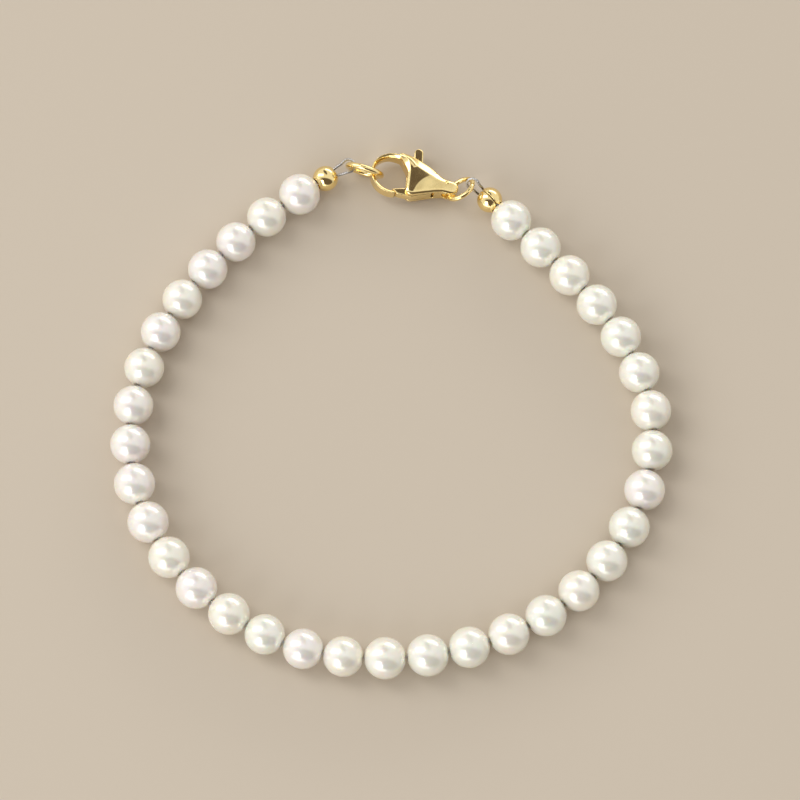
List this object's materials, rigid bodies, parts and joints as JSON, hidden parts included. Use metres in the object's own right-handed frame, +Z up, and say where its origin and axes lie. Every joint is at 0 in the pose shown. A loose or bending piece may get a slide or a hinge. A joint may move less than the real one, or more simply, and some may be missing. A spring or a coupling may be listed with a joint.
{
  "type": "pearl bracelet",
  "caption": "Closed bracelet of near-round white pearls strung on a wire, joined by gold rings, crimp covers and a lobster clasp.",
  "frame": {"origin": "middle of the bracelet's outline, on the surface that it lies on", "axes": "+Z up from the surface, +Y towards the clasp's side of the loop, +X to the right when seen from above"},
  "size_m": [0.0628, 0.0616, 0.0046],
  "materials": {
    "pearl": "gloss",
    "gold": "polished",
    "beading_wire": "satin"
  },
  "bodies": {
    "bracelet": {"pearl_01": "pearl", "pearl_02": "pearl", "pearl_03": "pearl", "pearl_04": "pearl", "pearl_05": "pearl", "pearl_06": "pearl", "pearl_07": "pearl", "pearl_08": "pearl", "pearl_09": "pearl", "pearl_10": "pearl", "pearl_11": "pearl", "pearl_12": "pearl", "pearl_13": "pearl", "pearl_14": "pearl", "pearl_15": "pearl", "pearl_16": "pearl", "pearl_17": "pearl", "pearl_18": "pearl", "pearl_19": "pearl", "pearl_20": "pearl", "pearl_21": "pearl", "pearl_22": "pearl", "pearl_23": "pearl", "pearl_24": "pearl", "pearl_25": "pearl", "pearl_26": "pearl", "pearl_27": "pearl", "pearl_28": "pearl", "pearl_29": "pearl", "pearl_30": "pearl", "pearl_31": "pearl", "pearl_32": "pearl", "pearl_33": "pearl", "pearl_34": "pearl", "clasp_body": "gold", "lever_rivet": "gold", "hook_ring": "gold", "tail_ring": "gold", "crimp_cover_left": "gold", "crimp_cover_right": "gold", "crimp_tube_left": "gold", "crimp_tube_right": "gold", "beading_wire": "beading_wire"},
    "lever": {"clasp_lever": "gold"}
  },
  "joints": [
    {"name": "lever_pivot", "type": "hinge", "parent": "bracelet", "child": "lever", "pos_m": [0.00312, 0.02721, 0.00171], "axis": [0.0904, 0.0699, 0.9935], "range_deg": [-22, 0], "stiffness_Nm_per_rad": 0.002, "springref_deg": 20.05}
  ]
}
